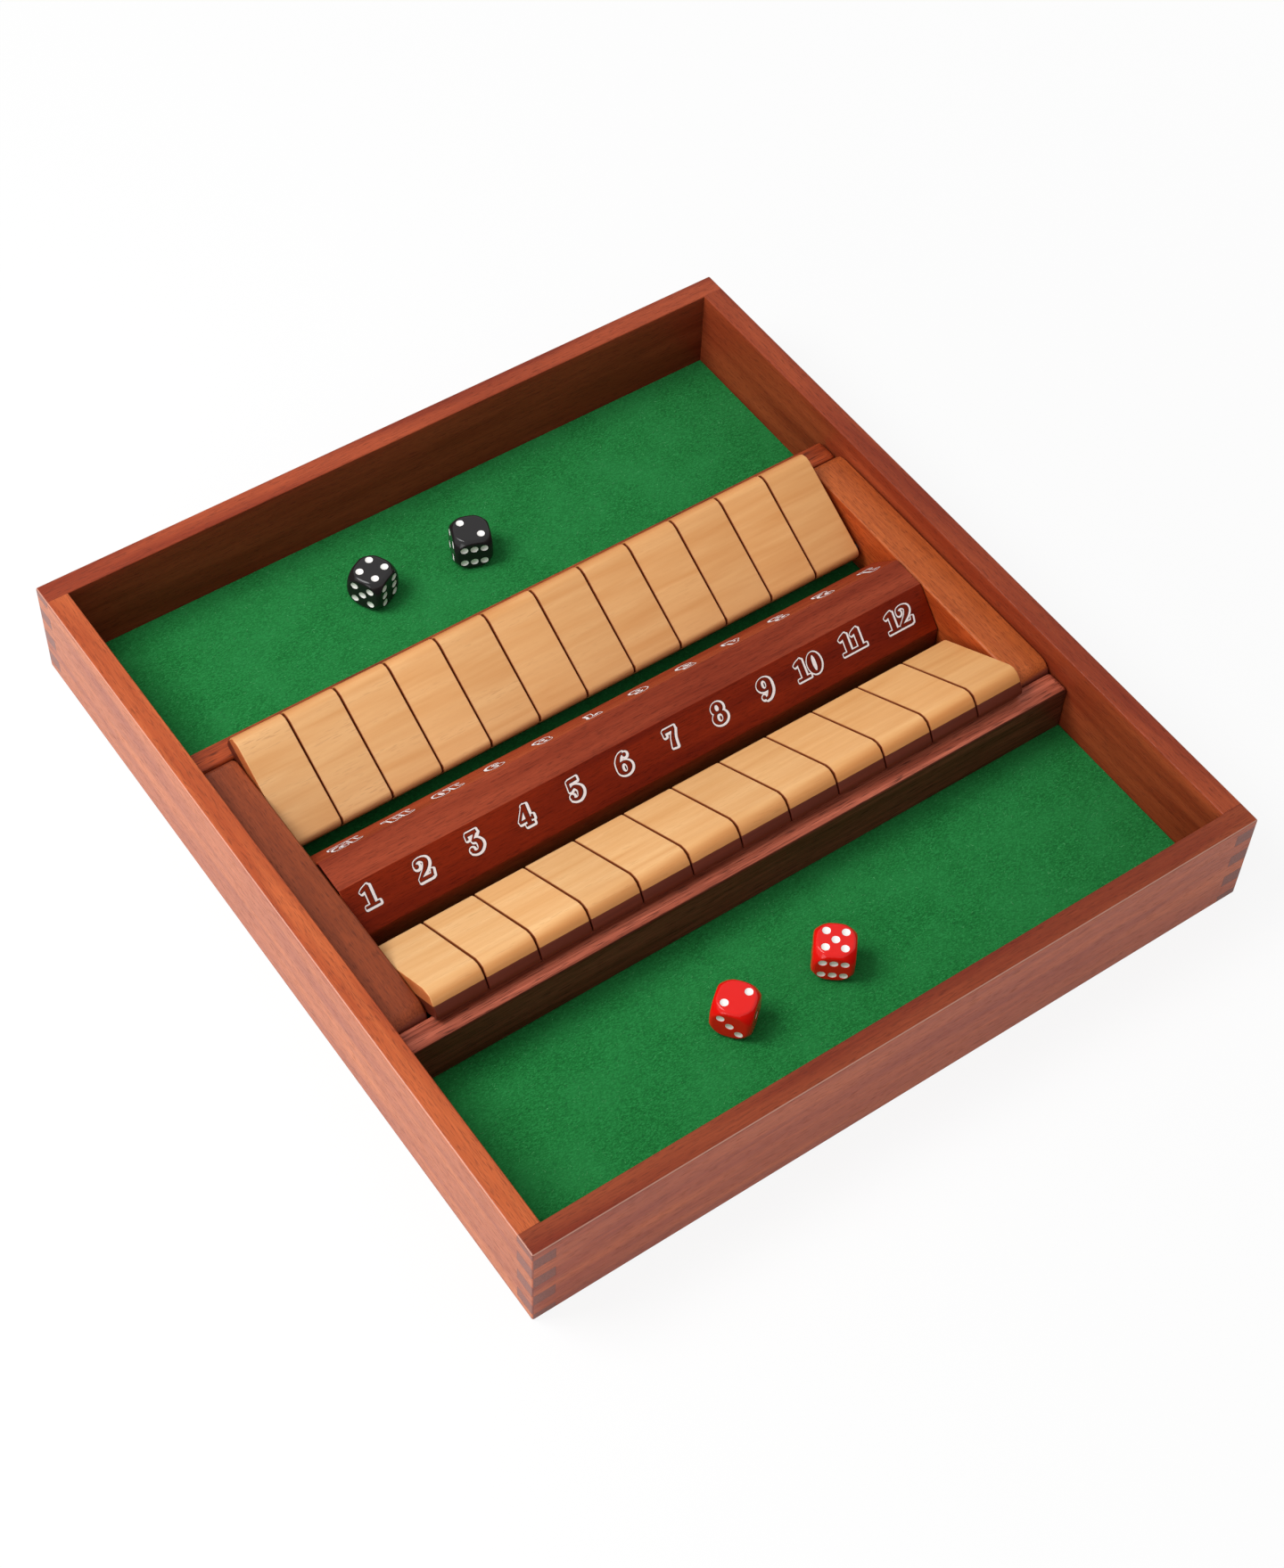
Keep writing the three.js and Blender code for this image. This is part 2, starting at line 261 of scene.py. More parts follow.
def wood_pattern(graph, grain, seed, figures=wall_figures, streaks=wall_streaks, pores=wall_pores, turn=None):
    """The figure, streaks and pores as values from 0 to 1, with the grain along an axis."""
    place = graph.add("VectorMath", {0: graph.place()}, operation="SCALE")
    place.inputs["Scale"].default_value = 1 / MM
    if turn is not None:
        place = turn(place)

    def stretched(lengths, detail, shift, distortion=0.0):
        along, across = lengths
        scale = [1 / across] * 3
        scale[grain_axes[grain][0]] = 1 / along
        mapped = graph.add("Mapping", {"Vector": place, "Scale": scale, "Location": [seed + shift] * 3})
        noise = {"Vector": mapped, "Scale": 1, "Detail": detail, "Distortion": distortion}
        return graph.add("TexNoise", noise)

    return (
        graph.remap(stretched(figures, 3, 0, 0.4), 0.3, 0.7),
        graph.remap(stretched(streaks, 3, 11), 0.28, 0.72),
        graph.remap(stretched(pores, 1, 23), 0.56, 0.68),
    )


def end_grain(graph, grain):
    """1 where a face looks along the grain, else 0."""
    along = graph.axes(graph.facing())[grain_axes[grain][0]]
    return graph.remap(graph.math("ABSOLUTE", along), 0.75, 0.9)


def hardwood(name, grain, seed, pale, deep, pore, end, gloss, pore_share=0.4, streak_share=0.5, **lengths):
    """An open-pored board under satin lacquer."""
    material, graph, shader = finish(name, Specular_IOR_Level=wood_shine)
    figure, streak, pores = wood_pattern(graph, grain, seed, **lengths)
    colour = graph.mix(figure, deep, pale)
    darker = graph.mix(1, colour, streak_tone, "MULTIPLY")
    colour = graph.mix(graph.math("MULTIPLY", streak, streak_share), colour, darker)
    colour = graph.mix(graph.math("MULTIPLY", pores, pore_share), colour, pore)
    ends = end_grain(graph, grain)
    dots = graph.add("TexNoise", {"Vector": graph.place(), "Scale": end_dot_scale, "Detail": 2})
    end_colour = graph.mix(graph.remap(dots, 0.4, 0.7, 0, 0.3), end, pore)
    graph.wire(graph.mix(ends, colour, end_colour), shader.inputs["Base Color"])
    graph.wire(graph.remap(pores, 0, 1, gloss, gloss + pore_dulling), shader.inputs["Roughness"])
    height = graph.math("SUBTRACT", graph.math("MULTIPLY", streak, 0.3), pores)
    bump = graph.add("Bump", {"Strength": 0.5, "Distance": pore_depth, "Height": height})
    graph.wire(bump, shader.inputs["Normal"])
    return material


def beyond(graph, axis, distance):
    """1 where a point lies further than a distance from the middle of the game along an axis, else 0."""
    from_middle = graph.math("ABSOLUTE", graph.axes(graph.place())[axis])
    return graph.math("GREATER_THAN", from_middle, distance)


def polish_outside(material):
    """A brighter coat on the faces at the outside of the box, and a painted highlight along their eased top
    edges.
    """
    graph = Graph(material.node_tree)
    shader = graph.tree.nodes["Principled BSDF"]
    shader.inputs["Coat Roughness"].default_value = outside_roughness
    sides = [beyond(graph, axis, cad_bounds[1][axis] - outside_depth) for axis in range(2)]
    outside = graph.math("MAXIMUM", *sides)
    graph.wire(graph.math("MULTIPLY", outside, outside_coat), shader.inputs["Coat Weight"])
    # Painted highlight: the eased edges between the outer faces and the top are lightened.
    facing = graph.axes(graph.facing())
    out = graph.math("MAXIMUM", *(graph.math("ABSOLUTE", facing[axis]) for axis in range(2)))
    slant = graph.math("MULTIPLY", out, facing[2])
    edge = graph.math("MULTIPLY", outside, graph.remap(slant, 0.25, 0.45, 0, edge_highlight_share))
    wood = shader.inputs["Base Color"].links[0].from_socket
    graph.wire(graph.mix(edge, wood, edge_painted_highlight), shader.inputs["Base Color"])


def looking(graph, direction):
    """1 where a face looks in a direction, else 0."""
    along = graph.add("VectorMath", {0: graph.facing(), 1: direction}, operation="DOT_PRODUCT")
    return graph.remap(along.outputs["Value"], 0.93, 0.98)


def tint(material, mask, tone):
    """Multiplies a material's colour by a tone where a mask is 1."""
    graph = Graph(material.node_tree)
    colour = graph.tree.nodes["Principled BSDF"].inputs["Base Color"]
    lit = colour.links[0].from_socket
    shaded = graph.mix(1, lit, (*tone, 1), "MULTIPLY")
    graph.wire(graph.mix(mask, lit, shaded), colour)


def tint_face(material, direction, tone):
    """Multiplies the colour of the faces that look in a direction by a tone."""
    tint(material, looking(Graph(material.node_tree), direction), tone)


def geometry_tree(name, inputs):
    """A geometry tree with named inputs, the graph to build it in, and the inputs' sockets."""
    tree = bpy.data.node_groups.new(name, "GeometryNodeTree")
    tree.interface.new_socket("Geometry", in_out="OUTPUT", socket_type="NodeSocketGeometry")
    for label, kind in inputs.items():
        tree.interface.new_socket(label, in_out="INPUT", socket_type="NodeSocket" + kind)
    return tree, Graph(tree, "GeometryNode"), tree.nodes.new("NodeGroupInput").outputs


def run_tree(piece, name, tree, values):
    """A modifier that runs a geometry tree, with its named inputs set by their identifiers."""
    modifier = piece.modifiers.new(name, "NODES")
    modifier.node_group = tree
    for socket in tree.interface.items_tree:
        if socket.in_out == "INPUT" and socket.name in values:
            modifier[socket.identifier] = values[socket.name]


easing, graph, sizes = geometry_tree(
    "smooth over eased edges", {"Solid": "Geometry", "Merge Distance": "Float", "Sharp Angle": "Float"}
)
joined = graph.add("MergeByDistance", {"Geometry": sizes["Solid"], "Distance": sizes["Merge Distance"]})
smooth = graph.add("SetShadeSmooth", {"Geometry": joined, "Shade Smooth": True}, domain="FACE")
bend = graph.add("InputMeshEdgeAngle").outputs["Unsigned Angle"]
functions = Graph(easing, "FunctionNode")
sharp = functions.add("Compare", {0: bend, 1: sizes["Sharp Angle"]}, operation="GREATER_THAN")
kept = {"Geometry": smooth, "Selection": sharp, "Shade Smooth": False}
graph.wire(graph.add("SetShadeSmooth", kept, domain="EDGE"), easing.nodes.new("NodeGroupOutput").inputs[0])


def dress(node_name, material):
    """Gives a CAD node its finish, and lets its eased edges catch the light as round ones do."""
    node = nodes[node_name]
    node.data.materials.clear()
    node.data.materials.append(material)
    run_tree(node, "eased edges", easing, {"Merge Distance": merge_distance, "Sharp Angle": sharp_angle})
    node.modifiers.new("flat faces", "WEIGHTED_NORMAL").keep_sharp = True


for node_name, (grain, cut_from, pale, deep) in wall_boards.items():
    lacquered = hardwood(node_name, grain, cut_from, pale, deep, wall_pore, wall_end, wall_gloss)
    # Painted light and sheen on the outer faces of the front and left walls.
    if node_name in outside_painted_light:
        tint_face(lacquered, *outside_painted_light[node_name])
    polish_outside(lacquered)
    # The back wall's inner face is darkened by a painted shade.
    if node_name == "back_wall":
        tint_face(lacquered, forward, back_wall_painted_shade)
    dress(node_name, lacquered)


# The floor: a sheet of plywood let into the walls, and a sheet of green wool felt glued on it. The felt
# has a low nap, and short pale fibres lie all over it.

panel_pale = linear("c79a68")
panel_deep = linear("b3814f")
panel_pore = linear("8a5f38")
panel_gloss = 0.6
panel_cut_from = 5

felt_green = linear("187332")
felt_shade = linear("135f2a")
felt_light = linear("298745")
felt_step = 1.6 * MM
felt_nap = 0.06 * MM
nap_wave_scale = 0.35 / MM
strand_scale = (1 / MM, 2.2 / MM, 1 / MM)
strand_angles = (20, 80, 140)
strand_depth = 0.08 * MM
tuft_scale = 0.06 / MM
fibre_length = 1.4 * MM
fibre_radius = 0.035 * MM
fibre_bow = 0.5
fibre_steps = 3
shortest_fibre_share = 0.4
fibre_seed = 4
fibres_per_square_metre = 60000.0

plywood_tones = (panel_pale, panel_deep, panel_pore, panel_pale)
plywood = hardwood("plywood", "Y", panel_cut_from, *plywood_tones, panel_gloss)
dress("base_panel", plywood)


def felt_finish(name, green, shade, light):
    """Matted wool: short strands that lie in three directions, over soft lighter and darker patches."""
    material, graph, shader = finish(name, Roughness=0.95, Sheen_Weight=0.08, Sheen_Roughness=0.5)
    shader.inputs["Specular IOR Level"].default_value = 0.1
    place = graph.place()
    strands = 0
    for index, angle in enumerate(strand_angles):
        lie = graph.add("Mapping", {"Vector": place, "Scale": strand_scale, "Location": (9 * index, 0, 0)})
        lie.inputs["Rotation"].default_value = (0, 0, math.radians(angle))
        noise = graph.add("TexNoise", {"Vector": lie, "Scale": 1, "Detail": 2, "Distortion": 0.8})
        strands = graph.math("ADD", strands, graph.remap(noise, 0.35, 0.65, 0, 1 / 3))
    tufts = graph.add("TexNoise", {"Vector": place, "Scale": tuft_scale, "Detail": 4})
    colour = graph.mix(graph.remap(strands, 0.25, 0.5), shade, green)
    colour = graph.mix(graph.remap(strands, 0.5, 0.8), colour, light)
    colour = graph.mix(graph.remap(tufts, 0.35, 0.7, 0, 0.4), colour, light)
    graph.wire(colour, shader.inputs["Base Color"])
    bump = graph.add("Bump", {"Strength": 0.4, "Distance": strand_depth, "Height": strands})
    graph.wire(bump, shader.inputs["Normal"])
    return material


felt_cloth = felt_finish("felt_cloth", felt_green, felt_shade, felt_light)
fibre_wool = felt_finish("fibre_wool", linear("4fa866"), felt_light, linear("8acf98"))

felt_low, felt_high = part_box("felt_lining")
felt_size = felt_high - felt_low


def made_mesh(name, tree, values, body):
    """A geometry tree's result as a plain piece that rides on a body."""
    maker = bpy.data.objects.new(name + "_maker", bpy.data.meshes.new(name + "_maker"))
    scene.collection.objects.link(maker)
    run_tree(maker, "make", tree, values)
    evaluated = maker.evaluated_get(bpy.context.evaluated_depsgraph_get())
    mesh = bpy.data.meshes.new_from_object(evaluated)
    bpy.data.objects.remove(maker)
    mesh.name = name
    piece = bpy.data.objects.new(name, mesh)
    scene.collection.objects.link(piece)
    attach(piece, body)
    return piece


def felt_surface(graph, sizes):
    """A grid over the floor at a level, which is where the nap or the fibres start."""
    values = Graph(graph.tree)
    laid = {}
    for axis, side in (("X", "Width"), ("Y", "Depth")):
        laid["Size " + axis] = sizes[side]
        laid["Vertices " + axis] = values.math("ROUND", values.math("DIVIDE", sizes[side], sizes["Step"]))
    grid = graph.add("MeshGrid", laid)
    rise = values.add("CombineXYZ", {"Z": sizes["Level"]})
    return graph.add("Transform", {"Geometry": grid, "Translation": rise})


def thickened(graph, sheet, sizes):
    """A flat sheet as a closed plate, and the selection of its upper face."""
    lift = {"Mesh": sheet, "Offset Scale": sizes["Thickness"], "Individual": False}
    raised = graph.add("ExtrudeMesh", lift)
    closed = graph.add("JoinGeometry", {0: graph.add("FlipFaces", {"Mesh": sheet})})
    graph.wire(raised, closed.inputs[0])
    plate = graph.add("MergeByDistance", {"Geometry": closed, "Distance": sizes["Merge Distance"]})
    return plate, raised.outputs["Top"]


def end_tree(graph, geometry, material):
    """Ends a geometry tree in plain meshes of one material."""
    realized = graph.add("RealizeInstances", {0: geometry})
    coloured = graph.add("SetMaterial", {"Geometry": realized, "Material": material})
    graph.wire(coloured, graph.tree.nodes.new("NodeGroupOutput").inputs[0])


felt_sizes = {"Width": felt_size.x, "Depth": felt_size.y, "Step": felt_step}

sheet_sizes = {
    **felt_sizes,
    "Level": felt_low.z,
    "Thickness": felt_size.z,
    "Merge Distance": merge_distance,
    "Nap": felt_nap,
}
tree, graph, sizes = geometry_tree("felt sheet", dict.fromkeys(sheet_sizes, "Float"))
values = Graph(tree)
plate, upper = thickened(graph, felt_surface(graph, sizes), sizes)
waves = values.add("TexNoise", {"Vector": graph.add("InputPosition"), "Scale": nap_wave_scale})
dip = values.math("MULTIPLY", waves, values.math("MULTIPLY", sizes["Nap"], -1))
pressed = {"Geometry": plate, "Selection": upper, "Offset": values.add("CombineXYZ", {"Z": dip})}
end_tree(graph, graph.add("SetPosition", pressed), felt_cloth)
felt = made_mesh("felt_sheet", tree, sheet_sizes, "case")
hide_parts("felt_lining")

fibre_sizes = {
    **felt_sizes,
    "Level": felt_high.z,
    "Length": fibre_length,
    "Radius": fibre_radius,
    "Bow": fibre_bow,
    "Density": fibres_per_square_metre,
}
tree, graph, sizes = geometry_tree("felt fibres", {**dict.fromkeys(fibre_sizes, "Float"), "Seed": "Int"})
values = Graph(tree)
functions = Graph(tree, "FunctionNode")
seed = sizes["Seed"]
surface = {"Mesh": felt_surface(graph, sizes), "Density": sizes["Density"], "Seed": seed}
roots = graph.add("DistributePointsOnFaces", surface)
half = values.math("MULTIPLY", sizes["Length"], 0.5)
start = values.add("CombineXYZ", {"X": values.math("MULTIPLY", half, -1)})
middle = values.add("CombineXYZ", {"Y": values.math("MULTIPLY", half, sizes["Bow"])})
end = values.add("CombineXYZ", {"X": half})
bow = {"Resolution": fibre_steps, "Start": start, "Middle": middle, "End": end}
profile = graph.add("CurvePrimitiveCircle", {"Resolution": 3, "Radius": sizes["Radius"]})
hair = graph.add("CurveToMesh", {"Curve": graph.add("CurveQuadraticBezier", bow), "Profile Curve": profile})
turn = {"Min": (0, 0, 0), "Max": (0, 0, math.tau), "Seed": values.math("ADD", seed, 1)}
spin = functions.add("RandomValue", turn, data_type="FLOAT_VECTOR")
growth = {2: shortest_fibre_share, 3: 1.0, "Seed": values.math("ADD", seed, 2)}
size = functions.add("RandomValue", growth, data_type="FLOAT").outputs[1]
laid = {"Points": roots, "Instance": hair, "Rotation": spin, "Scale": size}
end_tree(graph, graph.add("InstanceOnPoints", laid), fibre_wool)
fibres = made_mesh("felt_fibres", tree, {**fibre_sizes, "Seed": fibre_seed}, "case")


# The rails, cheeks and number bar: rails and bar of a darker wood than the walls, and the cheeks of the
# walls' own. They stand on the felt, and the cheeks carry the rods.

# As for the walls, the part of the pattern each piece is cut from, and its pale and deep tone.
rail_boards = {
    "front_rail": (60, linear("d07257"), linear("90402a")),
    "back_rail": (73, linear("c4582c"), linear("8c3618")),
}
rail_pore = linear("1c0a07")
rail_end = linear("35150f")
# Painted shade on the rails' faces towards the trays.
rail_tray_face = 78.5 * MM
rail_tray_painted_shade = (0.3, 0.3, 0.3)
rail_finish = dict(gloss=0.4, pore_share=0.6, streak_share=0.95)
rail_grain = dict(figures=(90, 2), streaks=(22, 0.5), pores=(8, 0.45))
cheek_boards = {
    "left_cheek": (90, linear("a34f2b"), linear("7c3619")),
    "right_cheek": (107, linear("d67238"), linear("ac5024")),
}
cheek_finish = dict(gloss=0.4, pore_share=0.5, streak_share=0.75)
bar_pale = linear("9a3b20")
bar_deep = linear("7a2612")
bar_pore = linear("2f0c07")
bar_finish = dict(gloss=0.4, pore_share=0.4, streak_share=0.5)
bar_cut_from = 130
bar_shine = 0.08
# Painted light on the bar: shade on the front slope, more light on the rear slope, and a paler sheen on the
# top.
bar_painted_light = (
    (Vector((0, -0.73, 0.684)), (0.74, 0.46, 0.22)),
    (Vector((0, 0.73, 0.684)), (1.3, 1.6, 1.7)),
    (Vector((0, 0, 1)), (1.07, 1.38, 1.75)),
)
# Painted shade on the cheeks' faces that look to the left.
cheek_leftward_painted_shade = (0.85, 0.6, 0.5)

for node_name, board in rail_boards.items():
    stained = hardwood(node_name, "X", *board, rail_pore, rail_end, **rail_finish, **rail_grain)
    # The rail's face towards its tray is darkened by a painted shade.
    tint(stained, beyond(Graph(stained.node_tree), 1, rail_tray_face), rail_tray_painted_shade)
    dress(node_name, stained)
for node_name, board in cheek_boards.items():
    stained = hardwood(node_name, "Y", *board, wall_pore, wall_end, **cheek_finish)
    # Painted shade on the faces that look to the left.
    tint_face(stained, leftward, cheek_leftward_painted_shade)
    dress(node_name, stained)
bar_tones = (bar_pale, bar_deep, bar_pore, bar_pore)
bar_wood = hardwood("number_bar", "X", bar_cut_from, *bar_tones, **bar_finish)
bar_wood.node_tree.nodes["Principled BSDF"].inputs["Specular IOR Level"].default_value = bar_shine
# Painted shade, light and sheen on the bar's slopes and top.
for direction, tone in bar_painted_light:
    tint_face(bar_wood, direction, tone)
dress("number_bar", bar_wood)


# The numerals: printed on both slopes of the bar in an old bold face with fine serifs. Each one is the
# bar's own wood seen through a white edge, which lies a little to its lower right and has a dark rim.

numeral_white = linear("efeaec")
numeral_dark = linear("34100c")
numeral_unit = 0.865 * MM
numeral_foot = 8.2 * MM
numeral_drop = 0.11 * MM
numeral_shift = -0.8 * MM
pair_shift = -2.1 * MM
digit_advance = 6.4
slope_foot = Vector((0, -20.9, 22.1)) * MM
slope_head = Vector((0, -7.5, 36.4)) * MM
print_step = 0.012 * MM
print_wear_scale = 1200
print_tolerance = 0.001
oval_steps = 28
least_opening = 0.3
numeral_raise = {1: 0.6 * MM, 11: 0.8 * MM}
print_colours = {"rim": numeral_dark, "edge": numeral_white, "line": numeral_dark, "face": None}
single_face_share = 0.78
single_rim = 1.02 * MM
single_edge = 0.84 * MM
single_line = 0.22 * MM
single_edge_shift = (0.42 * MM, -0.34 * MM)
single_line_shift = (0.12 * MM, -0.1 * MM)
pair_face_share = 0.85
pair_rim = 0.86 * MM
pair_edge = 0.7 * MM
pair_line = 0.18 * MM
pair_edge_shift = (0.26 * MM, -0.2 * MM)
pair_line_shift = (0.08 * MM, -0.06 * MM)

# For each layer, lowest first, the share of the strokes' weight, their growth all round, and their shift.
single_print = {
    "rim": (1, single_rim, single_edge_shift),
    "edge": (1, single_edge, single_edge_shift),
    "line": (single_face_share, single_line, single_line_shift),
    "face": (single_face_share, 0, (0, 0)),
}
pair_print = {
    "rim": (1, pair_rim, pair_edge_shift),
    "edge": (1, pair_edge, pair_edge_shift),
    "line": (pair_face_share, pair_line, pair_line_shift),
    "face": (pair_face_share, 0, (0, 0)),
}

# Each stroke is a row of points with half widths, each ring a centre, two radii and two half widths, in
# tenths of the height of a numeral.
digit_height = 10
digit_strokes = {
    1: [
        [(-0.45, 0.4, 1.25), (-0.45, 9.2, 1.25)],
        [(0.15, 9.4, 0.6), (-2.15, 8.3, 0.8), (-3.65, 7.6, 0.5)],
        [(-3.95, 0.55, 0.55), (2.65, 0.55, 0.55)],
    ],
    2: [
        [(-2.3, 7.0, 1.1)],
        [
            (-3.0, 7.4, 0.45),
            (-2.4, 9.0, 0.5),
            (-0.2, 9.5, 0.5),
            (1.9, 8.4, 1.1),
            (2.1, 6.8, 1.3),
            (0.9, 4.8, 1.0),
            (-1.3, 2.8, 0.6),
            (-2.9, 1.3, 0.45),
        ],
        [(-3.3, 0.8, 0.8), (2.6, 0.8, 0.8)],
        [(2.9, 0.5, 0.5), (3.5, 3.2, 0.4)],
    ],
    3: [
        [(-2.6, 9.3, 0.35), (-2.5, 7.0, 0.5)],
        [(-2.6, 9.1, 0.8), (2.4, 9.1, 0.8)],
        [(2.2, 9.0, 0.7), (-0.6, 5.6, 0.45)],
        [
            (-0.6, 5.7, 0.45),
            (1.4, 5.2, 0.9),
            (2.3, 3.1, 1.3),
            (1.2, 1.0, 0.8),
            (-0.8, 0.55, 0.55),
            (-2.4, 1.5, 0.7),
        ],
        [(-2.3, 2.2, 0.95)],
    ],
    4: [
        [(1.0, 0.6, 1.2), (1.0, 9.4, 1.2)],
        [(0.9, 9.4, 0.5), (-3.2, 3.1, 0.5)],
        [(-3.3, 2.7, 0.55), (3.3, 2.7, 0.55)],
        [(-0.9, 0.5, 0.5), (2.9, 0.5, 0.5)],
        [(3.2, 2.1, 0.4), (3.2, 3.9, 0.4)],
    ],
    5: [
        [(-1.6, 8.9, 0.8), (2.6, 9.1, 0.8)],
        [(-1.9, 9.3, 0.5), (-2.1, 4.9, 0.5)],
        [
            (-2.1, 5.0, 0.4),
            (0.2, 6.1, 0.6),
            (2.3, 4.4, 1.2),
            (2.3, 2.4, 1.3),
            (0.9, 0.7, 0.8),
            (-1.0, 0.6, 0.55),
            (-2.4, 1.6, 0.7),
        ],
        [(-2.2, 2.3, 0.95)],
    ],
    6: [
        [(-2.5, 3.3, 1.15), (-2.2, 6.4, 1.15), (-0.6, 8.8, 0.8), (1.2, 9.5, 0.5)],
        [(2.0, 8.4, 0.95)],
    ],
    7: [
        [(-2.6, 8.9, 0.85), (2.9, 8.9, 0.85)],
        [(-2.7, 9.4, 0.4), (-2.5, 6.6, 0.4)],
        [(2.6, 8.6, 0.6), (1.0, 5.0, 0.9), (0.3, 0.7, 1.25)],
    ],
}
digit_rings = {
    0: [(0, 5, 2.35, 4.4, 1.25, 0.55)],
    6: [(0.1, 3, 2.5, 2.55, 1.15, 0.45)],
    8: [(0, 7.4, 2.05, 2.15, 0.95, 0.45), (0, 2.9, 2.6, 2.55, 1.05, 0.45)],
}
digit_strokes[9] = [[(-x, digit_height - y, width) for x, y, width in stroke] for stroke in digit_strokes[6]]
digit_rings[9] = [(-x, digit_height - y, *rest) for x, y, *rest in digit_rings[6]]


def smooth_path(points, steps=7):
    """A Catmull-Rom curve through points, their half widths with them."""
    if len(points) < 3:
        return [Vector(point) for point in points]
    knots = [Vector(point) for point in (points[0], *points, points[-1])]
    path = []
    for a, b, c, d in zip(knots, knots[1:], knots[2:], knots[3:]):
        for step in range(steps):
            t = step / steps
            curve = (2 * a - 5 * b + 4 * c - d) * t**2
            twist = (3 * b - a - 3 * c + d) * t**3
            path.append(0.5 * (2 * b + (c - a) * t + curve + twist))
    return path + [knots[-1]]


def oval(x, y, across, up):
    """The corners of an oval, from its right end round to the left."""
    angles = [math.tau * step / oval_steps for step in range(oval_steps)]
    return [Vector((x + across * math.cos(angle), y + up * math.sin(angle))) for angle in angles]


class Print:
    """The strokes of a numeral as flat faces, at a share of their weight and grown all round."""

    def __init__(self, share, grow):
        self.share, self.grow, self.place, self.points, self.faces = share, grow, None, [], []

    def face(self, corners):
        self.faces.append(list(range(len(self.points), len(self.points) + len(corners))))
        self.points += [corner + self.place for corner in corners]

    def stroke(self, path):
        if len(path) == 1:
            radius = path[0].z * self.share + self.grow
            self.face(oval(*path[0].xy, radius, radius))
            return
        sides = []
        for before, point, after in zip([path[0]] + path, path, path[1:] + [path[-1]]):
            along = (after - before).xy.normalized()
            out = Vector((-along.y, along.x)) * (point.z * self.share + self.grow)
            sides.append((point.xy + out, point.xy - out))
        for (left, right), (next_left, next_right) in zip(sides, sides[1:]):
            self.face([left, right, next_right, next_left])
        if self.grow:
            self.cap(path[0], (path[0] - path[1]).xy.normalized())
            self.cap(path[-1], (path[-1] - path[-2]).xy.normalized())

    def cap(self, point, along):
        """A stroke's end, its corners rounded by the growth."""
        out = Vector((along.y, -along.x))
        corners = []
        for side, turns in ((1, (90, 60, 30, 0)), (-1, (0, 30, 60, 90))):
            for turn in turns:
                angle = math.radians(turn)
                corner = point.xy + side * out * point.z * self.share
                corner += self.grow * (math.cos(angle) * along + side * math.sin(angle) * out)
                corners.append(corner)
        self.face(corners)

    def ring(self, x, y, across, up, side_width, end_width):
        """A ring, which thins less than a stroke does, and is filled where too little is left open."""
        share = (self.share + 1) / 2
        side, end = side_width * share + self.grow, end_width * share + self.grow
        outer = oval(x, y, across + side, up + end)
        if across - side < least_opening:
            self.face(outer)
            return
        inner = oval(x, y, across - side, up - end)
        for index in range(oval_steps):
            self.face([inner[index - 1], outer[index - 1], outer[index], inner[index]])

    def digit(self, digit, place):
        self.place = place
        for stroke in digit_strokes.get(digit, []):
            self.stroke(smooth_path(stroke))
        for ring in digit_rings.get(digit, []):
            self.ring(*ring)

    def joined(self):
        """The outlines' triangles with no overlap, without those in the openings."""
        points, _, faces, _, _, sources = delaunay_2d_cdt(self.points, [], self.faces, 1, print_tolerance)
        return points, [face for face, source in zip(faces, sources) if source]


def numerals_mesh(layer):
    """A layer of the numerals 1 to 12 flat on the ground: a share of their weight, grown and shifted."""
    points, faces = [], []
    for number in range(1, tile_count + 1):
        digits = [int(figure) for figure in str(number)]
        paired = len(digits) == 2
        share, grow, shift = (pair_print if paired else single_print)[layer]
        printed = Print(share, grow / numeral_unit)
        along = pair_shift if paired else numeral_shift
        centre = tile_row_start + (number - 0.5) * tile_pitch + along
        foot = numeral_foot - (number - 1) * numeral_drop + numeral_raise.get(number, 0)
        place = Vector((centre + shift[0], foot + shift[1])) / numeral_unit
        for index, digit in enumerate(digits):
            printed.digit(digit, place + Vector(((index - (len(digits) - 1) / 2) * digit_advance, 0)))
        corners, triangles = printed.joined()
        faces += [[len(points) + corner for corner in triangle] for triangle in triangles]
        points += [(*(corner * numeral_unit), 0) for corner in corners]
    mesh = bpy.data.meshes.new("numerals_flat")
    mesh.from_pydata(points, [], faces)
    return mesh


tile_count = 12
tile_pitch = 22.1667 * MM
tile_row_start = -134.0 * MM
up_slope = (slope_head - slope_foot).normalized()
off_slope = Vector((1, 0, 0)).cross(up_slope)
slope_frame = Matrix((Vector((1, 0, 0)), up_slope, off_slope)).transposed().to_4x4()
print_finishes = {}
for layer, colour in print_colours.items():
    if colour is None:
        print_finishes[layer] = bar_wood
        continue
    ink, graph, shader = finish(f"print_{layer}", Base_Color=colour, Specular_IOR_Level=0.3)
    wear = graph.add("TexNoise", {"Vector": graph.place(), "Scale": print_wear_scale, "Detail": 2})
    graph.wire(graph.remap(wear, 0.3, 0.7, 0.45, 0.65), shader.inputs["Roughness"])
    graph.wire(graph.mix(graph.remap(wear, 0.6, 0.8, 0, 0.15), colour, bar_deep), shader.inputs["Base Color"])
    print_finishes[layer] = ink

plate_inputs = {"Outline": "Object", "Thickness": "Float", "Merge Distance": "Float", "Ink": "Material"}
tree, graph, sizes = geometry_tree("printed plate", plate_inputs)
outline = graph.add("ObjectInfo", {"Object": sizes["Outline"]}).outputs["Geometry"]
end_tree(graph, thickened(graph, outline, sizes)[0], sizes["Ink"])

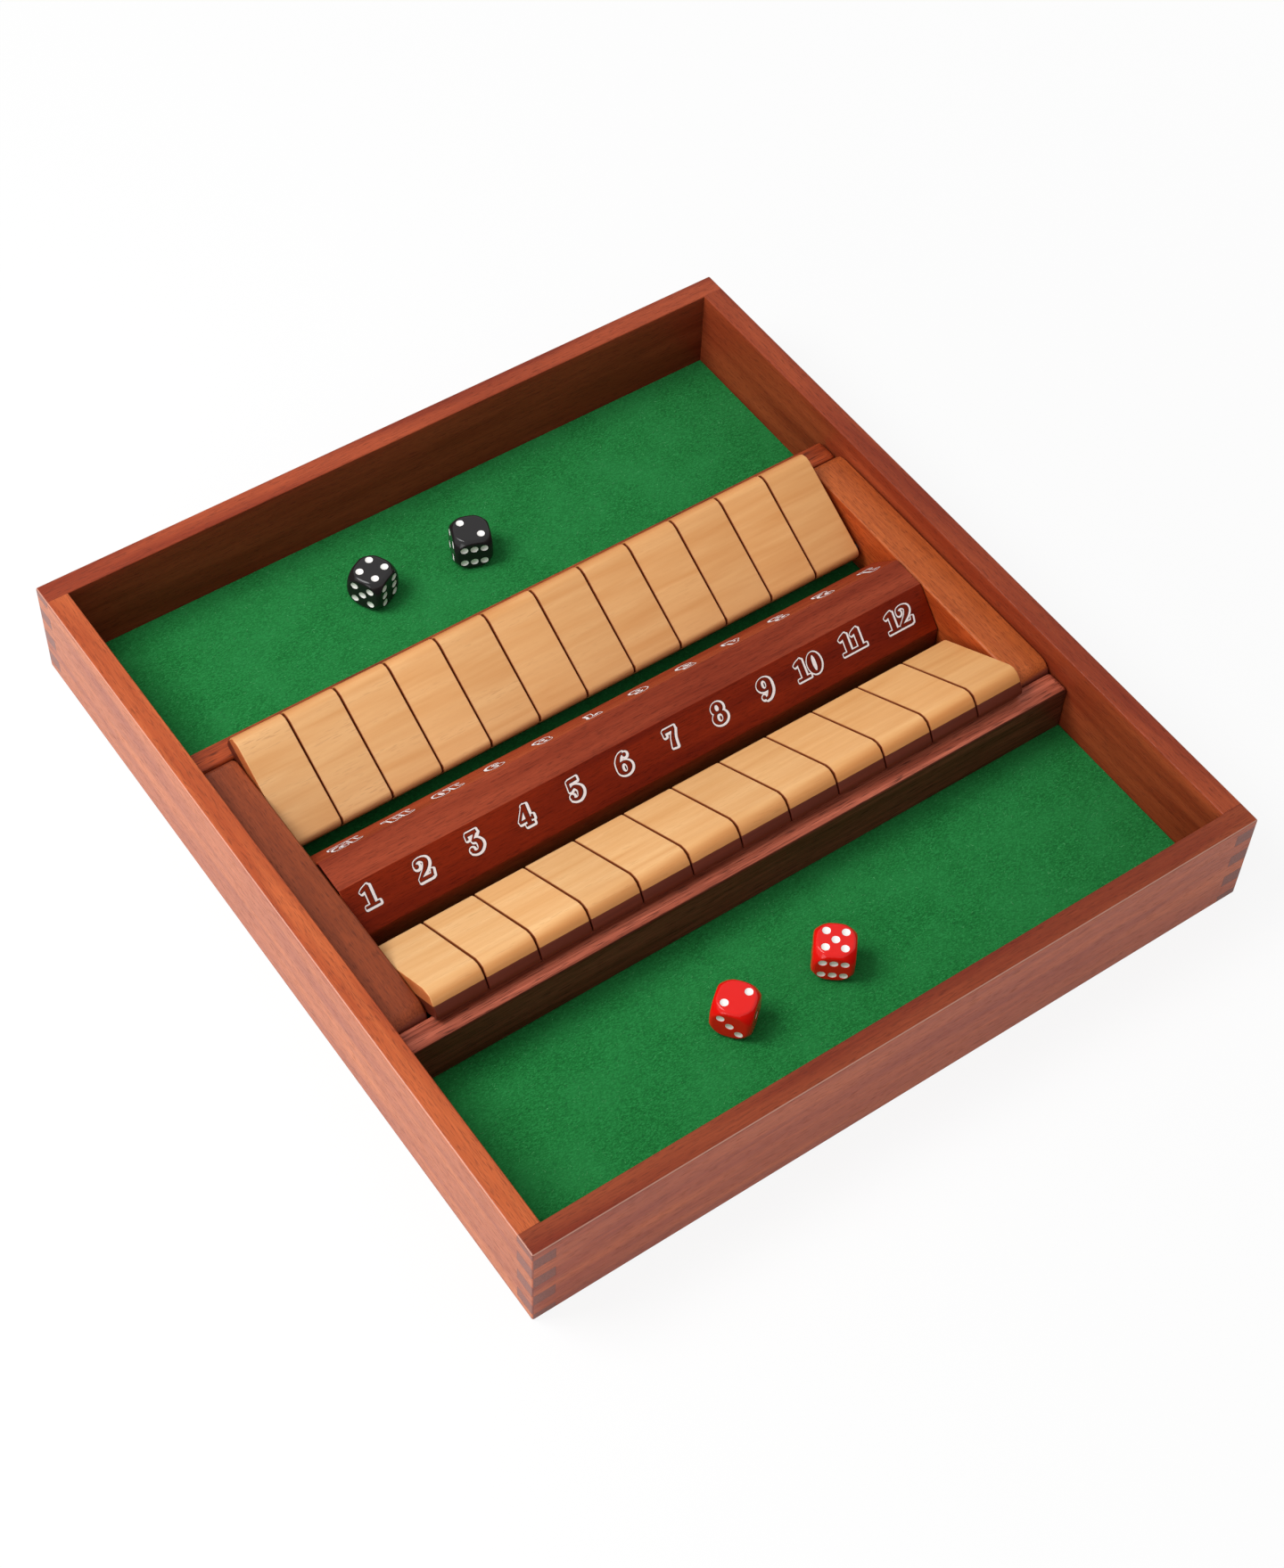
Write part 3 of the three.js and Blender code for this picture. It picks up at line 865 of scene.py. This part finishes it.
for index, layer in enumerate(print_colours):
    flat = bpy.data.objects.new("flat_numerals", numerals_mesh(layer))
    scene.collection.objects.link(flat)
    layer_values = {
        "Outline": flat,
        "Thickness": print_step,
        "Merge Distance": merge_distance,
        "Ink": print_finishes[layer],
    }
    front = made_mesh(f"numerals_{layer}_front", tree, layer_values, "case")
    bpy.data.objects.remove(flat)
    lift = Matrix.Translation(slope_foot + off_slope * index * print_step)
    front.data.transform(lift @ slope_frame)
    back = bpy.data.objects.new(f"numerals_{layer}_back", front.data.copy())
    back.data.transform(Matrix.Rotation(math.pi, 4, "Z"))
    scene.collection.objects.link(back)
    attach(back, "case")


# The rods: two lengths of drawn steel, one threaded through each row of tiles. Their ends sit in blind
# holes in the cheeks.

rod_steel = linear("b9babc")
rod_scratch_scale = (20, 4000, 4000)

steel, graph, shader = finish("drawn_steel", Base_Color=rod_steel, Metallic=1, Roughness=0.3)
drawn = graph.add("Mapping", {"Vector": graph.place(), "Scale": rod_scratch_scale})
scratches = graph.add("TexNoise", {"Vector": drawn, "Scale": 1, "Detail": 2})
graph.wire(graph.remap(scratches, 0.3, 0.7, 0.25, 0.42), shader.inputs["Roughness"])
for node_name in ("front_rod", "back_rod"):
    dress(node_name, steel)


# The tiles: blocks of pale honey-coloured wood cut from one long moulding, so that their grain runs from
# tile to tile. The half away from the pale face is dipped in dark brown stain.

tile_pale = linear("ecbe86")
tile_deep = linear("dfa96e")
tile_line = linear("bd7c42")
tile_fleck = linear("8f5526")
# Painted shade in the gaps between the tiles, on their side faces.
tile_gap_painted_shade = linear("7d3a18")
# Painted shade on the tiles' noses.
tile_nose_painted_shade = (0.9, 0.7, 0.54, 1)
# Painted shade on the end faces of the tile rows.
row_end_painted_shade = (0.78, 0.42, 0.3, 1)
# Painted shade on the back row of tiles.
back_row_painted_shade = (0.94, 0.89, 0.87, 1)
tile_stain = linear("6c2c1a")
tile_stain_pore = linear("44170d")
# Painted shade: the tiles grow darker and warmer towards the right, as the lamps' light falls off.
tile_falloff_painted_shade = (0.98, 0.86, 0.72, 1)
tile_grain = dict(figures=(70, 5), streaks=(60, 1.6), pores=(5, 0.5))
tile_cut_from = 3
tile_grain_depth = 0.03 * MM
tile_scatter = 600
row_scatter = 40
tile_side_inset = 2 * MM
tile_drift = 150 * MM
rod_offset = 33.5 * MM
rod_height = 19.2 * MM
tile_lean = math.radians(30.108)
stain_line = 0.55 * MM
stain_wander = 0.1 * MM
stain_soft = 0.1 * MM
stain_wave_scale = 300

tile_wood, graph, shader = finish("tile_wood", Specular_IOR_Level=0.25)
place = graph.place()
east, north, height = graph.axes(place)
cell = graph.math("DIVIDE", graph.math("SUBTRACT", east, tile_row_start), tile_pitch)
row = graph.math("MULTIPLY", graph.math("SIGN", north), row_scatter)
number = graph.math("ADD", graph.math("FLOOR", cell), row)
chance = graph.add("TexWhiteNoise", {"W": number}, noise_dimensions="1D")


def tile_by_tile(place):
    """Moves the pattern to another part of the moulding for each tile."""
    step = graph.add("VectorMath", {0: chance.outputs["Color"], "Scale": tile_scatter}, operation="SCALE")
    return graph.add("VectorMath", {0: place, 1: step}, operation="ADD")


figure, streak, pores = wood_pattern(graph, "X", tile_cut_from, **tile_grain, turn=tile_by_tile)
honey = graph.mix(figure, tile_deep, tile_pale)
honey = graph.mix(graph.math("MULTIPLY", streak, 0.13), honey, tile_line)
honey_in_falloff = graph.mix(1, honey, tile_falloff_painted_shade, "MULTIPLY")
flecks = graph.math("MULTIPLY", pores, graph.remap(figure, 0.5, 0.9, 0.03, 0.3))
honey = graph.mix(flecks, honey, tile_fleck)
# Painted falloff of the light: darker and warmer towards the right.
honey = graph.mix(graph.remap(east, -tile_drift, tile_drift), honey, honey_in_falloff)
level = graph.remap(chance.outputs["Value"], 0, 1, 0.93, 1.02)
honey = graph.mix(1, honey, graph.add("CombineXYZ", {0: level, 1: level, 2: level}), "MULTIPLY")
stain = graph.mix(graph.math("MULTIPLY", streak, 0.5), tile_stain, tile_stain_pore)
from_rod = graph.math("SUBTRACT", rod_offset, graph.math("ABSOLUTE", north))
above_rod = graph.math("SUBTRACT", height, rod_height)
risen = graph.math("MULTIPLY", from_rod, math.sin(tile_lean))
depth = graph.math("ADD", risen, graph.math("MULTIPLY", above_rod, math.cos(tile_lean)))
stain_waves = graph.add("TexNoise", {"Vector": place, "Scale": stain_wave_scale})
wander = graph.remap(stain_waves, 0, 1, -stain_wander, stain_wander)
above_line = graph.math("SUBTRACT", graph.math("ADD", depth, wander), stain_line)
dipped = graph.remap(above_line, -stain_soft, stain_soft)
half_row = tile_count / 2 * tile_pitch
from_middle = graph.math("ABSOLUTE", graph.math("SUBTRACT", east, tile_row_start + half_row))
between = graph.math("LESS_THAN", from_middle, half_row - tile_side_inset)
facing = graph.axes(graph.facing())
sideways = graph.remap(graph.math("ABSOLUTE", facing[0]), 0.15, 0.85)
sides = graph.math("MULTIPLY", sideways, between)
# The side faces in the gaps between tiles are darkened by a painted shade.
honey = graph.mix(sides, honey, tile_gap_painted_shade)
# The end faces of the rows are darkened by a painted shade.
row_end = graph.math("MULTIPLY", end_grain(graph, "X"), graph.math("SUBTRACT", 1, between))
honey = graph.mix(row_end, honey, graph.mix(1, honey, row_end_painted_shade, "MULTIPLY"))
# The back row is darkened by a painted shade.
in_back_row = graph.math("GREATER_THAN", north, 0)
honey = graph.mix(in_back_row, honey, graph.mix(1, honey, back_row_painted_shade, "MULTIPLY"))
# The faces that look out from the bar towards the rails are darkened and warmed by a painted shade.
outward = graph.math("MULTIPLY", facing[1], graph.math("SIGN", north))
nose = graph.mix(1, honey, tile_nose_painted_shade, "MULTIPLY")
honey = graph.mix(graph.remap(outward, -0.1, 0.6), honey, nose)
graph.wire(graph.mix(dipped, stain, honey), shader.inputs["Base Color"])
graph.wire(graph.remap(pores, 0, 1, 0.42, 0.6), shader.inputs["Roughness"])
bump = graph.add("Bump", {"Strength": 0.35, "Distance": tile_grain_depth, "Height": streak})
graph.wire(bump, shader.inputs["Normal"])
for row_name in ("front", "back"):
    for index in range(tile_count):
        dress(f"{row_name}_tile_{index + 1:02d}", tile_wood)


# The dice: moulded plastic cubes with rounded edges, their corners tumbled round, and white paint in
# shallow drilled pips.

die_size = 16 * MM
die_edge = 1.8 * MM
die_round = 10.8 * MM
die_blend = 0.5 * MM
die_grid = 44
die_sharp_angle = math.radians(28)
pip_radius = 1.75 * MM
pip_depth = 0.6 * MM
paint_radius = 1.5 * MM
pip_segments = 32
pip_rings = 48
paint_speck_scale = 900
plastic_haze_scale = 250
pip_offset = 3.6 * MM
pip_row_offset = 4.1 * MM
die_colours = {"black": linear("201e1f"), "red": linear("e2150f")}
pip_white = linear("f4f2ee")

# For each die its plastic, the number on top, the number towards the near player, and its turn in degrees.
die_places = {
    "die_black_a": ("black", 4, 5, -63),
    "die_black_b": ("black", 2, 6, -21),
    "die_red_a": ("red", 2, 3, -52),
    "die_red_b": ("red", 5, 6, -40),
}
pair = [(1, -1), (-1, 1)]
other_pair = [(1, 1), (-1, -1)]
centre_pip = [(0, 0)]
rows = pip_row_offset / pip_offset
two_rows = [(side, step * rows) for side in (1, -1) for step in (1, 0, -1)]
die_faces = {
    1: (Vector((1, 0, 0)), centre_pip),
    2: (Vector((0, 1, 0)), pair),
    3: (Vector((0, 0, 1)), pair + centre_pip),
    4: (Vector((0, 0, -1)), pair + other_pair),
    5: (Vector((0, -1, 0)), pair + other_pair + centre_pip),
    6: (Vector((-1, 0, 0)), two_rows),
}

pip_paint, graph, shader = finish("pip_paint", Base_Color=pip_white, Roughness=0.35)
specks = graph.add("TexNoise", {"Vector": graph.place(), "Scale": paint_speck_scale})
graph.wire(graph.remap(specks, 0.3, 0.7, 0.3, 0.45), shader.inputs["Roughness"])
die_plastics = {}
for colour, value in die_colours.items():
    plastic, graph, shader = finish(f"die_{colour}", Base_Color=value, Specular_IOR_Level=0.28)
    haze = graph.add("TexNoise", {"Vector": graph.place(), "Scale": plastic_haze_scale, "Detail": 3})
    graph.wire(graph.remap(haze, 0.3, 0.7, 0.12, 0.2), shader.inputs["Roughness"])
    die_plastics[colour] = plastic


def die_body():
    """A cube of fine squares, pushed out to its rounded edges and in to its tumbled corners."""
    body = bmesh.new()
    bmesh.ops.create_cube(body, size=die_size)
    bmesh.ops.subdivide_edges(body, edges=body.edges[:], cuts=die_grid, use_grid_fill=True)
    core = die_size / 2 - die_edge
    for vertex in body.verts:
        inner = Vector(max(-core, min(core, c)) for c in vertex.co)
        out = vertex.co - inner
        vertex.co = inner + out.normalized() * die_edge if out.length else inner
        reach = vertex.co.length
        near = max(die_blend - abs(reach - die_round), 0)
        vertex.co *= (min(reach, die_round) - near**2 / (4 * die_blend)) / reach
    return body


def pip_cutters():
    """A ball for each pip, which leaves a shallow round pit where it meets the face."""
    ball = (pip_radius**2 + pip_depth**2) / (2 * pip_depth)
    cutters = bmesh.new()
    for outward, pips in die_faces.values():
        axes = [axis for axis in range(3) if outward[axis] == 0]
        for pip in pips:
            centre = outward * (die_size / 2 + ball - pip_depth)
            for axis, share in zip(axes, pip):
                centre[axis] = share * pip_offset
            place = Matrix.Translation(centre) @ outward.to_track_quat("Z", "Y").to_matrix().to_4x4()
            sphere = dict(u_segments=pip_segments, v_segments=pip_rings, radius=ball, matrix=place)
            drilled = bmesh.ops.create_uvsphere(cutters, **sphere)
            for face in {face for vertex in drilled["verts"] for face in vertex.link_faces}:
                across = face.calc_center_median() - centre
                across -= outward * across.dot(outward)
                face.material_index = int(across.length > paint_radius)
    return cutters


def object_from(name, shape, material):
    """A shape as an object of one material."""
    mesh = bpy.data.meshes.new(name)
    shape.to_mesh(mesh)
    shape.free()
    mesh.materials.append(material)
    piece = bpy.data.objects.new(name, mesh)
    scene.collection.objects.link(piece)
    return piece


def die_turn(top, front, turn):
    """The turn that brings one number to the top and another to the front, and then spins the die."""
    up, towards = die_faces[top][0], die_faces[front][0]
    right = up.cross(towards)
    faces = Matrix((right, -towards, up)).to_4x4()
    return Matrix.Rotation(math.radians(turn), 4, "Z") @ faces


blank = object_from("die_blank", die_body(), die_plastics["red"])
drill = object_from("die_drill", pip_cutters(), pip_paint)
drill.data.materials.append(die_plastics["red"])
cut = blank.modifiers.new("pips", "BOOLEAN")
cut.operation, cut.solver, cut.object, cut.material_mode = "DIFFERENCE", "EXACT", drill, "TRANSFER"
evaluated = blank.evaluated_get(bpy.context.evaluated_depsgraph_get())
drilled = bpy.data.meshes.new_from_object(evaluated)
drilled.shade_smooth()
drilled.set_sharp_from_angle(angle=die_sharp_angle)
bpy.data.objects.remove(blank)
bpy.data.objects.remove(drill)

for node_name, (colour, top, front, turn) in die_places.items():
    mesh = drilled.copy()
    for index, material in enumerate(mesh.materials):
        if material != pip_paint:
            mesh.materials[index] = die_plastics[colour]
    low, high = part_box(node_name)
    mesh.transform(Matrix.Translation((low + high) / 2) @ die_turn(top, front, turn))
    die = bpy.data.objects.new(node_name.replace("die", "dice"), mesh)
    scene.collection.objects.link(die)
    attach(die, node_name)
    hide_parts(node_name)
